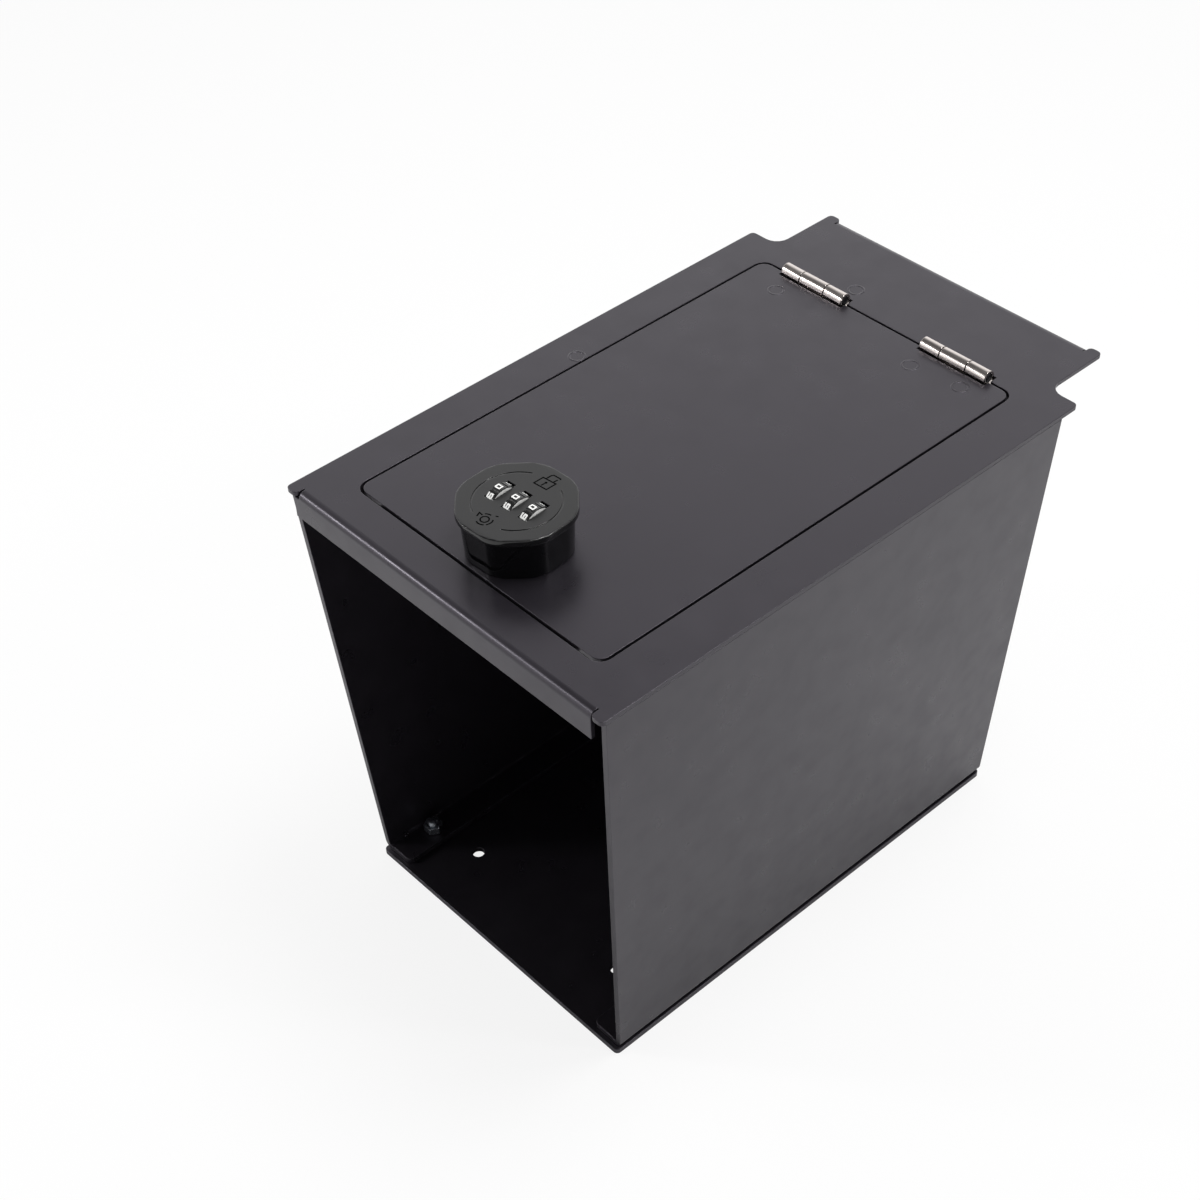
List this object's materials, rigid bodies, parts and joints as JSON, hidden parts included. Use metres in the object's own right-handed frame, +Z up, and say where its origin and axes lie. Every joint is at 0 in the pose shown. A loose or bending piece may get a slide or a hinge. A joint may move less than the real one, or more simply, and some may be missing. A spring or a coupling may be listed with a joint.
{
  "type": "console lock box",
  "caption": "Steel insert box with an open front, a flush hinged lid, an octagonal knob lock with digit dials, and a flanged top frame.",
  "frame": {"origin": "under the middle of the outline, on the plane that the bottom plate stands on", "axes": "+Z up, the open front towards -Y, the hinges and the rear tab towards +Y"},
  "size_m": [0.19, 0.3052, 0.2428],
  "materials": {
    "powder_coat": "black semi-gloss powder coat on steel sheet",
    "nickel_plate": "bright nickel plate on steel",
    "zinc_plate": "bright zinc plate on steel",
    "knob_zinc": "glossy black paint on die-cast zinc",
    "dial_plastic": "glossy black moulded plastic",
    "brass": "turned, bare"
  },
  "bodies": {
    "box": {"top_frame": "powder_coat", "left_wall": "powder_coat", "right_wall": "powder_coat", "back_wall": "powder_coat", "bottom_plate": "powder_coat", "lid_rest_strip": "powder_coat", "frame_hinge_leaf_left": "nickel_plate", "frame_hinge_leaf_right": "nickel_plate", "hinge_pin_left": "nickel_plate", "hinge_pin_right": "nickel_plate", "flange_stud_front_left": "zinc_plate", "flange_stud_front_right": "zinc_plate", "flange_stud_rear_left": "zinc_plate", "flange_stud_rear_right": "zinc_plate", "flange_nut_front_left": "zinc_plate", "flange_nut_front_right": "zinc_plate", "flange_nut_rear_left": "zinc_plate", "flange_nut_rear_right": "zinc_plate"},
    "lid": {"lid_panel": "powder_coat", "lid_hinge_leaf_left": "nickel_plate", "lid_hinge_leaf_right": "nickel_plate", "lock_housing": "zinc_plate", "lock_washer": "zinc_plate", "lock_nut": "zinc_plate"},
    "knob": {"knob_cap": "knob_zinc", "knob_body": "knob_zinc", "dial_axle": "brass", "knob_screw_1": "zinc_plate", "knob_screw_2": "zinc_plate", "lock_spindle": "brass", "cam": "zinc_plate", "cam_washer": "zinc_plate", "cam_screw": "zinc_plate"},
    "dial_1": {"dial_wheel_1": "dial_plastic"},
    "dial_2": {"dial_wheel_2": "dial_plastic"},
    "dial_3": {"dial_wheel_3": "dial_plastic"}
  },
  "joints": [
    {"name": "lid_hinge", "type": "hinge", "parent": "box", "child": "lid", "pos_m": [-0.0014, 0.1031, 0.2212], "axis": [-1, 0, 0], "range_deg": [0, 105]},
    {"name": "lock_turn", "type": "hinge", "parent": "lid", "child": "knob", "pos_m": [-0.0014, -0.1078, 0.22], "axis": [0, 0, -1], "range_deg": [0, 90]},
    {"name": "dial_1_turn", "type": "hinge", "parent": "knob", "child": "dial_1", "pos_m": [-0.01073, -0.10832, 0.2345], "axis": [0.9984, 0.0558, 0], "continuous": true},
    {"name": "dial_2_turn", "type": "hinge", "parent": "knob", "child": "dial_2", "pos_m": [-0.0014, -0.1078, 0.2345], "axis": [0.9984, 0.0558, 0], "continuous": true},
    {"name": "dial_3_turn", "type": "hinge", "parent": "knob", "child": "dial_3", "pos_m": [0.00793, -0.10728, 0.2345], "axis": [0.9984, 0.0558, 0], "continuous": true}
  ]
}
